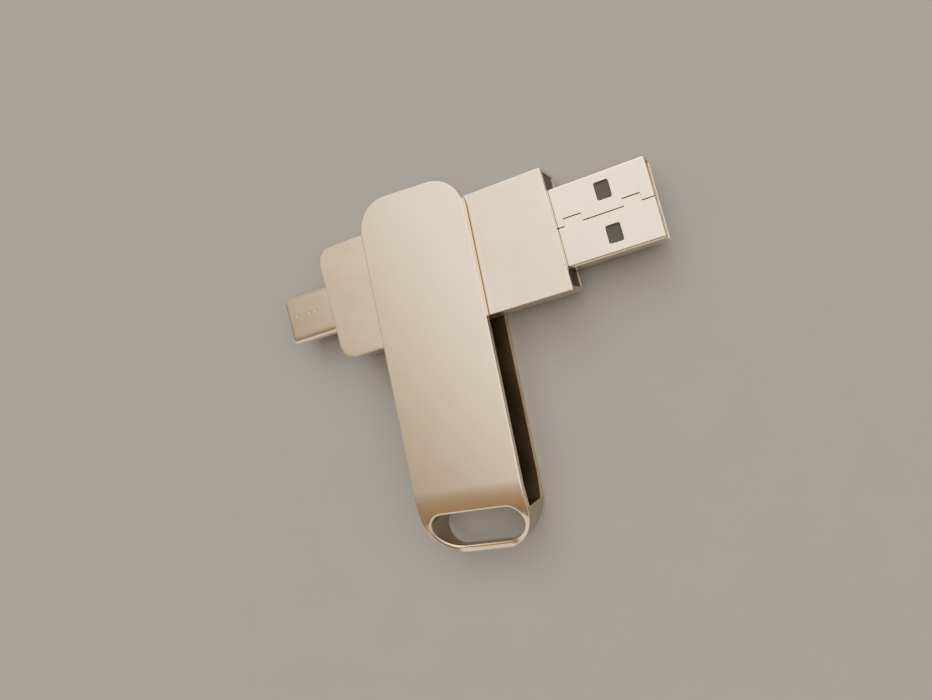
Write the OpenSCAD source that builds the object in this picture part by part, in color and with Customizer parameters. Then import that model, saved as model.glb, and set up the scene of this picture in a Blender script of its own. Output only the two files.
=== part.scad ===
// Swivel flash drive with a USB-A plug at one end of its metal case and a
// USB Type-C plug at the other. A sprung metal cover, bent round a closed
// nose, turns about a hidden pivot through the middle of the case.
//
// The drive lies along X with the USB-A plug towards +X. Z is the pivot
// axis, and z = 0 is the outer face of the cover's lower leaf.

/* [Cover] */
// Distance from the pivot axis to the tip of the cover's nose
cover_reach = 43.4; // [43:0.1:45]
// Distance from the pivot axis to the upper leaf's free end
cover_tail = 12.8; // [12.4:0.1:14]
// Distance from the pivot axis to the lower leaf's free end
lower_tail = 11.8; // [11.4:0.1:12.4]
// Width of the cover
cover_width = 17.5; // [17:0.1:18]
// Thickness of each leaf of the cover
leaf_thickness = 1.2; // [1:0.05:1.4]
// Corner radius at the free end, seen from above
tail_corner = 5.0; // [3:0.1:6]
// Corner radius at the nose, seen from above
nose_corner = 6.5; // [6:0.1:7]
// Radius of the bend that brings the two leaves together at the nose
nose_bend = 16; // [15:0.1:17]
// Radius of the nose's tip, seen from the side
nose_tip = 1.3; // [1:0.1:1.4]
// Length of the closed nose, where the two leaves are one
nose_solid = 6.4; // [6.3:0.1:6.6]
// Angle of the cover from square across the drive
cover_angle = -3.6; // [-10:0.1:10]

/* [Lanyard slot] */
// Thickness of the bar that closes the nose past the slot
slot_bar = 1.3; // [1.2:0.05:1.4]
// Half the length of the bar's straight inner edge
slot_bar_half = 3.6; // [3.4:0.1:3.7]
// Radius of the slot's two corners at the bar
slot_far_corner = 4.0; // [3.9:0.1:4.2]
// Distance from the pivot axis to the slot's near edge
slot_start = 36.5; // [36.3:0.1:36.8]
// Radius of the slot's two near corners
slot_near_corner = 2.3; // [2.1:0.1:2.5]

/* [Case] */
// Distance from the pivot axis to the closed end of the case
case_back = 17.6; // [17.2:0.1:18]
// Distance from the pivot axis to the open end of the case
case_front = 21.2; // [21:0.1:22]
// Width of the case
case_width = 18.1; // [18:0.1:18.6]
// Height of the case
case_height = 6.6; // [6.5:0.1:7]
// Wall thickness of the case
case_wall = 0.6; // [0.5:0.05:0.65]
// Radius of the two corners at the closed end, seen from above
case_corner = 2.2; // [1.5:0.1:3]
// Gap between the case and each leaf of the cover
leaf_gap = 0.3; // [0.25:0.01:0.4]

/* [Pivot] */
// Diameter of the two pivot studs
stud_diameter = 5.0; // [4:0.1:6]
// Radial clearance of a stud in its bore in the case
stud_clearance = 0.05; // [0.02:0.01:0.08]
// Outer diameter of the friction washers
washer_diameter = 11; // [9:0.1:13]
// Thickness of the friction washers
washer_thickness = 0.24; // [0.2:0.01:0.24]

/* [USB-A plug] */
// Length of the plug outside the case
plug_a_reach = 14.0; // [13:0.1:14.2]
// Width of the plug's shell
plug_a_width = 12.0; // [11.9:0.05:12.1]
// Height of the plug's shell
plug_a_height = 4.5; // [4.4:0.05:4.6]
// Sheet thickness of the plug's shell
plug_a_sheet = 0.3; // [0.25:0.01:0.32]

/* [Type-C plug] */
// Length of the plug outside the case
plug_c_reach = 9.6; // [8.5:0.1:10]
// Width of the plug's shell
plug_c_width = 8.25; // [8.2:0.01:8.3]
// Height of the plug's shell
plug_c_height = 2.4; // [2.38:0.01:2.42]
// Sheet thickness of the plug's shell
plug_c_sheet = 0.3; // [0.25:0.01:0.3]

/* [Circuit board] */
// Thickness of the board
board_thickness = 0.8; // [0.8:0.05:0.85]
// Width of the board
board_width = 15.2; // [15:0.1:15.4]
// Length of the flash chip's body
flash_length = 18.4; // [18:0.1:18.6]
// Width of the flash chip's body
flash_width = 12.0; // [11.8:0.1:12.2]

/* [Hidden] */

$fn = 96;
cut = 1;                    // how far a cutting solid runs past a face
slip = 0.03;                // clearance between fixed parts that slide together

// Heights of the stack: leaf, gap, case, gap, leaf
stack_height = case_height + 2 * leaf_gap + 2 * leaf_thickness;
mid_z = stack_height / 2;
upper_leaf_z = stack_height - leaf_thickness;
case_top_z = mid_z + case_height / 2;
case_bottom_z = mid_z - case_height / 2;
inner_height = case_height - 2 * case_wall;
inner_width = case_width - 2 * case_wall;

// Side view of the nose: an arc of each leaf, rounded off where they meet
bend_start = cover_reach - nose_tip
    - sqrt(pow(nose_bend - nose_tip, 2) - pow(nose_bend - mid_z, 2));
tip_centre = cover_reach - nose_tip;
bend_rise = nose_bend - mid_z;
tip_tangent = tip_centre + nose_tip * (tip_centre - bend_start) / (nose_bend - nose_tip);
nose_cavity_end = cover_reach - nose_solid;

// Circuit board and what stands on it
board_back = -14.6;
board_front = 15.2;
board_top_z = mid_z + board_thickness / 2;
board_bottom_z = mid_z - board_thickness / 2;
carrier_front = case_front - 5.8;
carrier_back = -case_back + case_wall + slip;
rail_width = 1.7;
carrier_end = 1.2;            // how far the carriers' end walls reach over the board
carrier_plate = 0.7;
stud_depth = leaf_gap + case_wall + 0.35;
stud_room = stud_diameter / 2 + 0.4;
lead_pitch = 0.5;
lead_width = 0.22;
lead_sheet = 0.12;
lead_reach = 0.8;
flash_x = 1.0;
flash_height = 1.0;
controller_x = 1.6;
controller_side = 7.0;
controller_height = 1.3;
standoff = 0.1;
regulator_x = -11.6;
regulator_y = 4.4;
regulator_length = 2.9;
regulator_width = 1.6;
regulator_height = 1.0;
regulator_pitch = 0.95;
crystal_can = [3.2, 2.5, 0.8];
crystal_place = [-7.4, -3.6];
// Chip components: [x, y] of each, those under the board and those on it
capacitor_size = [1.0, 0.5, 0.5];
capacitors_under = [
    [-2.9, -5.2], [-2.9, 5.2], [6.2, -5.2], [6.2, 5.2], [8.6, 2.4], [8.6, -2.4], [-7.4, 0]
];
capacitors_on_top = [[-11.6, -2.0], [-11.6, -3.4], [-11.6, -4.8]];
resistor_size = [1.0, 0.5, 0.35];
resistors_under = [[10.8, 3.6], [10.8, 2.4], [10.8, -2.4], [10.8, -3.6], [-10.6, 2.2]];

// USB-A plug
plug_a_tip = case_front + plug_a_reach;
plug_a_back = 15.9;
plug_a_corner = 0.55;
window_start = 27.6;
window_length = 2.1;
window_inner = 1.85;
window_width = 2.6;
window_corner = 0.3;
tongue_height = 1.85;
tongue_tip = plug_a_tip - 0.7;
tongue_root = plug_a_tip - 12.2;
tongue_top_z = mid_z + plug_a_height / 2 - plug_a_sheet - slip;
tongue_face_z = tongue_top_z - tongue_height;
contact_z = tongue_face_z + 0.04;
seam_gap = 0.06;
contact_width_a = 1.0;
contact_sheet_a = 0.2;
contact_places_a = [-3.5, -1.0, 1.0, 3.5];
// The seam's joggle: where it runs along each side of the plug's centre line
seam_side = 1.1;
seam_steps = [
    [plug_a_tip, 0], [33.4, seam_side], [30.85, 0],
    [24.9, seam_side], [22.2, 0], [plug_a_back, 0]
];

// Type-C plug
plug_c_tip = -case_back - plug_c_reach;
plug_c_back = -15.0;
mouth_width_c = 6.8;
mouth_height_c = 1.2;
mouth_end_c = plug_c_tip + 6.7;
contact_count_c = 12;
contact_pitch_c = 0.5;
contact_width_c = 0.25;
contact_sheet_c = 0.12;
latch_sheet = 0.24;
latch_inner = 3.35;
latch_outer = 3.7;

// ---- Shared shapes -------------------------------------------------------

// Rectangle with rounded corners, centred
module rounded_rectangle(size_x, size_y, corner) {
    square([size_x - 2 * corner, size_y], center = true);
    square([size_x, size_y - 2 * corner], center = true);
    for (side_x = [-1, 1], side_y = [-1, 1])
        translate([side_x * (size_x / 2 - corner), side_y * (size_y / 2 - corner)])
            circle(r = corner);
}

// Extrudes a cross-section drawn in Y and Z along X
module along_x(from_x, to_x) {
    translate([from_x, 0, mid_z])
        rotate([90, 0, 90])
            linear_extrude(to_x - from_x) children();
}

// Extrudes a side view drawn in X and Z across Y, about the X axis's plane
module across_y(width) {
    translate([0, width / 2, 0])
        rotate([90, 0, 0])
            linear_extrude(width) children();
}

// Block given by its limits along each axis
module block(low, high) {
    translate(low) cube(high - low);
}

// The same part above and below the middle of the stack
module mirrored_down() {
    translate([0, 0, 2 * mid_z]) mirror([0, 0, 1]) children();
}

// ---- Cover, drawn along +X and then turned across the drive --------------

module turned_across() {
    rotate([0, 0, cover_angle - 90]) children();
}

// Outline of a leaf, with rounded corners at its free end and at the nose
module leaf_plan(tail) {
    half_width = cover_width / 2;
    tail_centre = tail_corner - tail;
    nose_centre = cover_reach - nose_corner;
    translate([tail_centre, -half_width])
        square([nose_centre - tail_centre, cover_width]);
    translate([-tail, tail_corner - half_width])
        square([tail_corner + cut, 2 * (half_width - tail_corner)]);
    translate([nose_centre - cut, nose_corner - half_width])
        square([nose_corner + cut, 2 * (half_width - nose_corner)]);
    for (side = [-1, 1]) {
        translate([tail_centre, side * (half_width - tail_corner)])
            circle(r = tail_corner);
        translate([nose_centre, side * (half_width - nose_corner)])
            circle(r = nose_corner);
    }
}

// Lens of the two leaves' bends, inset from the outer surface
module bend_lens(inset, from_x, to_x) {
    intersection() {
        translate([from_x, 0]) square([to_x - from_x, stack_height]);
        translate([bend_start, mid_z - bend_rise]) circle(r = nose_bend - inset, $fn = 192);
        translate([bend_start, mid_z + bend_rise]) circle(r = nose_bend - inset, $fn = 192);
    }
}

module cover_side_view() {
    translate([-cover_tail - cut, 0])
        square([cover_tail + cut + bend_start, stack_height]);
    bend_lens(0, bend_start - cut / 2, tip_tangent);
    translate([tip_centre, mid_z]) circle(r = nose_tip);
}

module cover_cavity_view() {
    translate([-cover_tail - 2 * cut, leaf_thickness])
        square([cover_tail + 2 * cut + bend_start, upper_leaf_z - leaf_thickness]);
    bend_lens(leaf_thickness, bend_start - cut / 2, nose_cavity_end);
}

// Points along an arc, without its first one
function arc_points(centre, radius, from, to, steps) = [
    for (index = [1 : steps])
        let (angle = from + (to - from) * index / steps)
            [centre.x + radius * cos(angle), centre.y + radius * sin(angle)]
];

// Slot whose near corners run smoothly into the larger corners at the bar
module lanyard_slot() {
    arc_u = cover_reach - slot_bar - slot_far_corner;
    arc_v = slot_bar_half;
    near_u = slot_start + slot_near_corner;
    near_v = arc_v
        + sqrt(pow(slot_far_corner - slot_near_corner, 2) - pow(near_u - arc_u, 2));
    meet = atan2(near_v - arc_v, near_u - arc_u);
    near_steps = 12;
    far_steps = 16;
    polygon(concat(
        [[slot_start, -near_v]],
        arc_points([near_u, -near_v], slot_near_corner, 180, 360 - meet, near_steps),
        arc_points([arc_u, -arc_v], slot_far_corner, -meet, 0, far_steps),
        [[arc_u + slot_far_corner, arc_v]],
        arc_points([arc_u, arc_v], slot_far_corner, 0, meet, far_steps),
        arc_points([near_u, near_v], slot_near_corner, meet, 180, near_steps)
    ));
}

module swivel_cover() {
    color([0.80, 0.75, 0.68])
        turned_across()
            difference() {
                intersection() {
                    union() {
                        translate([0, 0, mid_z]) linear_extrude(mid_z) leaf_plan(cover_tail);
                        linear_extrude(mid_z) leaf_plan(lower_tail);
                    }
                    across_y(cover_width + 2 * cut) cover_side_view();
                }
                across_y(cover_width + 4 * cut) cover_cavity_view();
                translate([0, 0, -cut])
                    linear_extrude(stack_height + 2 * cut) lanyard_slot();
            }
}

// ---- Pivot ---------------------------------------------------------------

// Round stud welded inside a leaf, with a small chamfer at its free end
module upper_pivot_stud() {
    stud_radius = stud_diameter / 2;
    chamfer = 0.2;
    color([0.62, 0.61, 0.58])
        translate([0, 0, upper_leaf_z - stud_depth])
            rotate_extrude()
                polygon([
                    [0, 0], [stud_radius - chamfer, 0], [stud_radius, chamfer],
                    [stud_radius, stud_depth], [0, stud_depth]
                ]);
}

module lower_pivot_stud() {
    mirrored_down() upper_pivot_stud();
}

// Slippery washer that rides on the leaf, round the stud
module upper_friction_washer() {
    color([0.92, 0.91, 0.86])
        translate([0, 0, upper_leaf_z - washer_thickness])
            difference() {
                cylinder(d = washer_diameter, h = washer_thickness);
                translate([0, 0, -cut])
                    cylinder(r = stud_diameter / 2 + slip, h = washer_thickness + 2 * cut);
            }
}

module lower_friction_washer() {
    mirrored_down() upper_friction_washer();
}

// ---- Case ----------------------------------------------------------------

// Outline with two rounded corners at the closed end and a square open end
module case_plan(inset, front) {
    back = -case_back + inset;
    half_width = case_width / 2 - inset;
    corner = case_corner - inset;
    translate([back + corner, -half_width])
        square([front - back - corner, 2 * half_width]);
    translate([back, -half_width + corner])
        square([corner + cut, 2 * (half_width - corner)]);
    for (side = [-1, 1])
        translate([back + corner, side * (half_width - corner)])
            circle(r = corner);
}

module plug_c_outline(inset) {
    rounded_rectangle(
        plug_c_width - 2 * inset, plug_c_height - 2 * inset,
        plug_c_height / 2 - inset - 0.01
    );
}

module housing_case() {
    color([0.78, 0.73, 0.65])
        difference() {
            translate([0, 0, case_bottom_z])
                linear_extrude(case_height) case_plan(0, case_front);
            translate([0, 0, case_bottom_z + case_wall])
                linear_extrude(inner_height) case_plan(case_wall, case_front + cut);
            translate([0, 0, case_bottom_z - cut])
                cylinder(r = stud_diameter / 2 + stud_clearance, h = case_height + 2 * cut);
            along_x(-case_back - cut, -case_back + case_wall + cut) plug_c_outline(-slip);
        }
}

// Black surround that closes the open end, with two arms along the walls
module front_bezel() {
    bezel_back = case_front - 3.4;
    bezel_front = case_front - 0.1;
    arm_back = bezel_back - 2.2;
    arm_width = 1.0;
    bezel_width = inner_width - 2 * slip;
    bezel_height = inner_height - 2 * slip;
    color([0.06, 0.06, 0.06]) {
        difference() {
            union() {
                along_x(bezel_back, bezel_front)
                    rounded_rectangle(bezel_width, bezel_height, 0.2);
                for (side = [-1, 1])
                    along_x(arm_back, bezel_back + cut)
                        translate([side * (bezel_width - arm_width) / 2, 0])
                            square([arm_width, bezel_height - 1], center = true);
            }
            along_x(bezel_back - cut, bezel_front + cut)
                rounded_rectangle(
                    plug_a_width + 2 * slip, plug_a_height + 2 * slip, plug_a_corner
                );
        }
    }
}

// ---- Carriers that clamp the board ---------------------------------------

module carrier_outline() {
    intersection() {
        case_plan(case_wall + slip, carrier_front);
        translate([carrier_back, -case_width / 2])
            square([carrier_front - carrier_back, case_width]);
    }
}

// Plate against the case with a rail along each side of the board
module upper_carrier() {
    plate_z = case_top_z - case_wall - slip - carrier_plate;
    rail_inner = inner_width / 2 - slip - rail_width;
    plug_room = plug_c_width / 2 + slip;
    color([0.10, 0.10, 0.11])
        difference() {
            translate([0, 0, board_top_z])
                linear_extrude(plate_z + carrier_plate - board_top_z) carrier_outline();
            block(
                [board_back + carrier_end, -rail_inner, board_top_z - cut],
                [carrier_front + cut, rail_inner, plate_z]
            );
            block(
                [carrier_back - cut, -plug_room, board_top_z - cut],
                [board_back + carrier_end + slip, plug_room, plate_z]
            );
            translate([0, 0, plate_z - cut])
                cylinder(r = stud_room, h = carrier_plate + 2 * cut);
        }
}

// The same with a lip outside the board's edges that locates it
module lower_carrier() {
    lip_inner = board_width / 2 + slip;
    plate_z = case_bottom_z + case_wall + slip + carrier_plate;
    rail_inner = inner_width / 2 - slip - rail_width;
    plug_room = plug_c_width / 2 + slip;
    color([0.10, 0.10, 0.11])
        difference() {
            translate([0, 0, plate_z - carrier_plate])
                linear_extrude(board_top_z - slip - plate_z + carrier_plate)
                    carrier_outline();
            block(
                [board_back + carrier_end, -rail_inner, plate_z],
                [carrier_front + cut, rail_inner, board_top_z + cut]
            );
            block(
                [board_back - slip, -lip_inner, board_bottom_z],
                [carrier_front + cut, lip_inner, board_top_z + cut]
            );
            block(
                [carrier_back - cut, -plug_room, plate_z],
                [board_back + carrier_end + slip, plug_room, board_top_z + cut]
            );
            translate([0, 0, plate_z - carrier_plate - cut])
                cylinder(r = stud_room, h = carrier_plate + 2 * cut);
        }
}

// ---- Circuit board -------------------------------------------------------

module circuit_board() {
    color([0.05, 0.30, 0.16])
        block(
            [board_back, -board_width / 2, board_bottom_z],
            [board_front, board_width / 2, board_top_z]
        );
}

// Gull-wing lead seen from its side: foot at the origin, rising towards -X
module gull_lead(rise) {
    foot = 0.45;
    translate([0, lead_width / 2, 0])
        rotate([90, 0, 0])
            linear_extrude(lead_width)
                polygon([
                    [0, 0], [-foot, 0], [-foot, rise], [-lead_reach, rise],
                    [-lead_reach, rise + lead_sheet], [-foot + lead_sheet, rise + lead_sheet],
                    [-foot + lead_sheet, lead_sheet], [0, lead_sheet]
                ]);
}

// Row of leads along the +X side of a chip centred on the origin
module lead_row(count, half_body, rise) {
    for (place = [0 : count - 1])
        translate([half_body + lead_reach, (place - (count - 1) / 2) * lead_pitch, 0])
            gull_lead(rise);
}

// Chip body with a chamfered upper edge
module chip_body(length, width, height) {
    bevel = 0.15;
    difference() {
        translate([-length / 2, -width / 2, standoff]) cube([length, width, height]);
        for (side = [-1, 1]) {
            translate([side * length / 2, 0, standoff + height])
                rotate([0, 45, 0]) cube([bevel, width + 2 * cut, bevel], center = true);
            translate([0, side * width / 2, standoff + height])
                rotate([45, 0, 0]) cube([length + 2 * cut, bevel, bevel], center = true);
        }
    }
}

module flash_chip() {
    color([0.09, 0.09, 0.10])
        translate([flash_x, 0, board_top_z])
            chip_body(flash_length, flash_width, flash_height);
}

module flash_chip_leads() {
    rows = 24;
    color([0.78, 0.78, 0.76])
        translate([flash_x, 0, board_top_z])
            for (turn = [0, 180])
                rotate([0, 0, turn])
                    lead_row(rows, flash_length / 2, flash_height / 2);
}

module under_board(x) {
    translate([x, 0, board_bottom_z]) mirror([0, 0, 1]) children();
}

module controller_chip() {
    color([0.10, 0.10, 0.10])
        under_board(controller_x)
            chip_body(controller_side, controller_side, controller_height);
}

module controller_leads() {
    rows = 12;
    color([0.78, 0.78, 0.76])
        under_board(controller_x)
            for (turn = [0 : 90 : 270])
                rotate([0, 0, turn])
                    lead_row(rows, controller_side / 2, controller_height / 2);
}

// Small oscillator can under the board
module clock_crystal() {
    color([0.80, 0.78, 0.72])
        under_board(crystal_place.x)
            translate([0, crystal_place.y, crystal_can.z / 2])
                cube(crystal_can, center = true);
}

module voltage_regulator() {
    color([0.12, 0.12, 0.12])
        translate([regulator_x, regulator_y, board_top_z])
            chip_body(regulator_width, regulator_length, regulator_height);
}

module regulator_leads() {
    color([0.78, 0.78, 0.76])
        translate([regulator_x, regulator_y, board_top_z]) {
            for (place = [-1, 0, 1])
                translate([regulator_width / 2 + lead_reach, place * regulator_pitch, 0])
                    gull_lead(regulator_height / 2);
            for (place = [-1, 1])
                rotate([0, 0, 180])
                    translate([regulator_width / 2 + lead_reach, place * regulator_pitch, 0])
                        gull_lead(regulator_height / 2);
        }
}

module capacitors() {
    color([0.62, 0.50, 0.34]) {
        for (place = capacitors_under)
            translate([place.x, place.y, board_bottom_z - capacitor_size.z / 2])
                cube(capacitor_size, center = true);
        for (place = capacitors_on_top)
            translate([place.x, place.y, board_top_z + capacitor_size.z / 2])
                cube(capacitor_size, center = true);
    }
}

module resistors() {
    color([0.07, 0.07, 0.08])
        for (place = resistors_under)
            translate([place.x, place.y, board_bottom_z - resistor_size.z / 2])
                cube(resistor_size, center = true);
}

// ---- USB-A plug ----------------------------------------------------------

module window_outline() {
    for (side = [-1, 1])
        translate([
            window_start + window_length / 2,
            side * (window_inner + window_width / 2)
        ])
            rounded_rectangle(window_length, window_width, window_corner);
}

// Joggled butt joint along the upper face of the folded shell
module shell_seam() {
    seam_z = mid_z + plug_a_height / 2 - 2 * plug_a_sheet;
    for (index = [0 : len(seam_steps) - 2]) {
        from = seam_steps[index];
        to = seam_steps[index + 1];
        block(
            [to.x - seam_gap / 2, from.y - seam_gap / 2, seam_z],
            [from.x + (index == 0 ? cut : seam_gap / 2), from.y + seam_gap / 2, mid_z * 2]
        );
        block(
            [to.x - seam_gap / 2, min(from.y, to.y), seam_z],
            [to.x + seam_gap / 2, max(from.y, to.y) + 0.001, mid_z * 2]
        );
    }
}

module usb_a_shell() {
    inner_corner = plug_a_corner - plug_a_sheet;
    color([0.82, 0.80, 0.75])
        difference() {
            along_x(plug_a_back, plug_a_tip)
                rounded_rectangle(plug_a_width, plug_a_height, plug_a_corner);
            along_x(plug_a_back - cut, plug_a_tip + cut)
                rounded_rectangle(
                    plug_a_width - 2 * plug_a_sheet,
                    plug_a_height - 2 * plug_a_sheet,
                    inner_corner
                );
            linear_extrude(stack_height) window_outline();
            shell_seam();
        }
}

// Rear block and tongue; each contact lies in a groove in the tongue's face
module usb_a_insulator() {
    inset = plug_a_sheet + slip;
    block_half = plug_a_width / 2 - inset;
    groove_half = contact_width_a / 2 + slip;
    groove_tip = tongue_tip - 0.8;
    color([0.30, 0.30, 0.29])
        difference() {
            along_x(plug_a_back + 0.1, tongue_tip)
                rounded_rectangle(
                    plug_a_width - 2 * inset, plug_a_height - 2 * inset,
                    plug_a_corner - plug_a_sheet
                );
            block(
                [tongue_root, -block_half - cut, 0],
                [tongue_tip + cut, block_half + cut, tongue_face_z]
            );
            for (place = contact_places_a) {
                block(
                    [plug_a_back - cut, place - groove_half, contact_z - slip],
                    [groove_tip, place + groove_half, contact_z + contact_sheet_a + slip]
                );
                block(
                    [tongue_root, place - groove_half, tongue_face_z - cut],
                    [groove_tip, place + groove_half, contact_z + contact_sheet_a]
                );
            }
        }
}

// Flat contacts that step up behind the block onto the board
module usb_a_contacts() {
    contact_tip = tongue_tip - 0.9;
    tail_back = 13.4;
    step_x = plug_a_back - 0.35;
    color([0.86, 0.68, 0.30])
        for (place = contact_places_a)
            translate([0, place + contact_width_a / 2, 0])
                rotate([90, 0, 0])
                    linear_extrude(contact_width_a)
                        polygon([
                            [contact_tip, contact_z],
                            [contact_tip, contact_z + contact_sheet_a],
                            [step_x + contact_sheet_a, contact_z + contact_sheet_a],
                            [step_x + contact_sheet_a, board_top_z + contact_sheet_a],
                            [tail_back, board_top_z + contact_sheet_a],
                            [tail_back, board_top_z],
                            [step_x, board_top_z],
                            [step_x, contact_z]
                        ]);
}

// ---- Type-C plug ---------------------------------------------------------

module usb_c_shell() {
    color([0.80, 0.77, 0.72])
        difference() {
            along_x(plug_c_tip, plug_c_back) plug_c_outline(0);
            along_x(plug_c_tip - cut, plug_c_back + cut) plug_c_outline(plug_c_sheet);
        }
}

// Moulding with the mouth, and slots for the two contact rows and the latches
module usb_c_insulator() {
    rear = plug_c_back;
    row_half = (contact_count_c - 1) * contact_pitch_c / 2 + contact_width_c / 2 + slip;
    row_z = board_thickness / 2;
    color([0.09, 0.09, 0.09])
        difference() {
            along_x(plug_c_tip + 0.15, rear) plug_c_outline(plug_c_sheet + slip);
            along_x(plug_c_tip - cut, mouth_end_c)
                rounded_rectangle(mouth_width_c, mouth_height_c, 0.3);
            for (side = [-1, 1])
                block(
                    [mouth_end_c - cut, -row_half, mid_z + side * (row_z + contact_sheet_c / 2) - 0.08],
                    [rear + cut, row_half, mid_z + side * (row_z + contact_sheet_c / 2) + 0.08]
                );
            block(
                [plug_c_tip + 0.9, -latch_outer - slip, mid_z - latch_sheet / 2 - slip],
                [rear + cut, latch_outer + slip, mid_z + latch_sheet / 2 + slip]
            );
        }
}

// One flat plate with a sprung arm and hook at each side of the mouth
module usb_c_latch_plate() {
    arm_tip = plug_c_tip + 1.1;
    hook_length = 0.9;
    hook_depth = 0.25;
    color([0.74, 0.73, 0.70])
        translate([0, 0, mid_z - latch_sheet / 2])
            linear_extrude(latch_sheet)
                polygon([
                    [arm_tip, -latch_outer], [plug_c_back, -latch_outer],
                    [plug_c_back, latch_outer], [arm_tip, latch_outer],
                    [arm_tip, latch_inner],
                    [arm_tip + hook_length / 2, latch_inner - hook_depth],
                    [arm_tip + hook_length, latch_inner],
                    [mouth_end_c, latch_inner], [mouth_end_c, -latch_inner],
                    [arm_tip + hook_length, -latch_inner],
                    [arm_tip + hook_length / 2, hook_depth - latch_inner],
                    [arm_tip, -latch_inner]
                ]);
}

// Sprung contacts of one row: a bump near the tip and a tail on the board
module usb_c_upper_contacts() {
    tip = plug_c_tip + 1.3;
    bump = 0.12;
    bump_length = 0.8;
    low = board_thickness / 2;
    high = low + contact_sheet_c;
    tail = board_back + 1.6;
    color([0.86, 0.68, 0.30])
        for (place = [0 : contact_count_c - 1])
            translate([
                0,
                (place - (contact_count_c - 1) / 2) * contact_pitch_c + contact_width_c / 2,
                mid_z
            ])
                rotate([90, 0, 0])
                    linear_extrude(contact_width_c)
                        polygon([
                            [tip, low], [tip + bump_length / 2, low - bump],
                            [tip + bump_length, low], [tail, low], [tail, high],
                            [tip + bump_length, high],
                            [tip + bump_length / 2, high - bump], [tip, high]
                        ]);
}

module usb_c_lower_contacts() {
    mirrored_down() usb_c_upper_contacts();
}

// ---- Nodes ---------------------------------------------------------------

swivel_cover();
upper_pivot_stud();
lower_pivot_stud();
upper_friction_washer();
lower_friction_washer();
housing_case();
front_bezel();
upper_carrier();
lower_carrier();
circuit_board();
flash_chip();
flash_chip_leads();
controller_chip();
controller_leads();
clock_crystal();
voltage_regulator();
regulator_leads();
capacitors();
resistors();
usb_a_shell();
usb_a_insulator();
usb_a_contacts();
usb_c_shell();
usb_c_insulator();
usb_c_latch_plate();
usb_c_upper_contacts();
usb_c_lower_contacts();
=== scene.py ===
import math

import bmesh
import bpy
import numpy as np
from mathutils import Matrix, Vector
from mathutils.geometry import delaunay_2d_cdt


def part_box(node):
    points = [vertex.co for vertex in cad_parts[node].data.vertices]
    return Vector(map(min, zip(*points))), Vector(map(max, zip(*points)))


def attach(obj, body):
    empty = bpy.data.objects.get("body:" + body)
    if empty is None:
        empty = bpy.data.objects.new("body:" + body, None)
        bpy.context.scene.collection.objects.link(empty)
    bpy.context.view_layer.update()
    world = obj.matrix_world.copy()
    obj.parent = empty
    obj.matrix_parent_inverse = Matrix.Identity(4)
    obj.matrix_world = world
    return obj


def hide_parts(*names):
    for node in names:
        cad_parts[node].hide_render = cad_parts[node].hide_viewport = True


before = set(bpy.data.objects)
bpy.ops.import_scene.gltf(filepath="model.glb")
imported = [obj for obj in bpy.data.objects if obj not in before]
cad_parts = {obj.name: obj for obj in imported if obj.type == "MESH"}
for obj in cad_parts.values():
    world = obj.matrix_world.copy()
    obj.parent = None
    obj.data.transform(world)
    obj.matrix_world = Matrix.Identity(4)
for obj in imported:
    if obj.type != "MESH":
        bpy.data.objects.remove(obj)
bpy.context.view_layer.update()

# Lengths in this script are in millimetres, and meshes are made in metres.
MM = 0.001
WELD_DISTANCE = 3e-4
SHARP_ANGLE = math.radians(32)


def box_mm(node):
    low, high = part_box(node)
    return low / MM, high / MM


# ---- Flat outlines -------------------------------------------------------
# A loop runs with its material on the left: counter-clockwise round a piece,
# clockwise round a hole in it.

def arc(centre, radius, start, end, steps):
    turn = np.radians(np.linspace(start, end, steps + 1))
    return np.column_stack(
        (centre[0] + radius * np.cos(turn), centre[1] + radius * np.sin(turn))
    )


def chain(*parts):
    points = np.vstack([np.atleast_2d(np.array(p, float)) for p in parts])
    keep = [0]
    for i in range(1, len(points)):
        if np.linalg.norm(points[i] - points[keep[-1]]) > 1e-3:
            keep.append(i)
    if np.linalg.norm(points[keep[-1]] - points[0]) < 1e-3:
        keep.pop()
    return points[keep]


def rounded(low, high, radius, steps=6):
    """Counter-clockwise rectangle with round corners."""
    x0, y0 = low
    x1, y1 = high
    return chain(
        arc((x1 - radius, y0 + radius), radius, -90, 0, steps),
        arc((x1 - radius, y1 - radius), radius, 0, 90, steps),
        arc((x0 + radius, y1 - radius), radius, 90, 180, steps),
        arc((x0 + radius, y0 + radius), radius, 180, 270, steps),
    )


def inset(points, distance, closed=True):
    """The same line moved to its left by distance."""
    before = points - np.roll(points, 1, 0)
    after = np.roll(points, -1, 0) - points
    if not closed:
        before[0], after[-1] = after[0], before[-1]
    before /= np.linalg.norm(before, axis=1)[:, None]
    after /= np.linalg.norm(after, axis=1)[:, None]
    left_a = np.column_stack((-before[:, 1], before[:, 0]))
    left_b = np.column_stack((-after[:, 1], after[:, 0]))
    share = 1 + (left_a * left_b).sum(1)
    return points + distance * (left_a + left_b) / share[:, None]


def distance_to(points, line, closed=True):
    start = line if closed else line[:-1]
    end = np.roll(line, -1, 0) if closed else line[1:]
    along = end - start
    length = (along ** 2).sum(1)
    best = np.full(len(points), 1e9)
    for i in range(0, len(points), 1000):
        gap = points[i:i + 1000, None, :] - start[None]
        share = np.clip((gap * along).sum(2) / length, 0, 1)
        miss = gap - share[..., None] * along
        best[i:i + 1000] = np.sqrt((miss ** 2).sum(2)).min(1)
    return best


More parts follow.
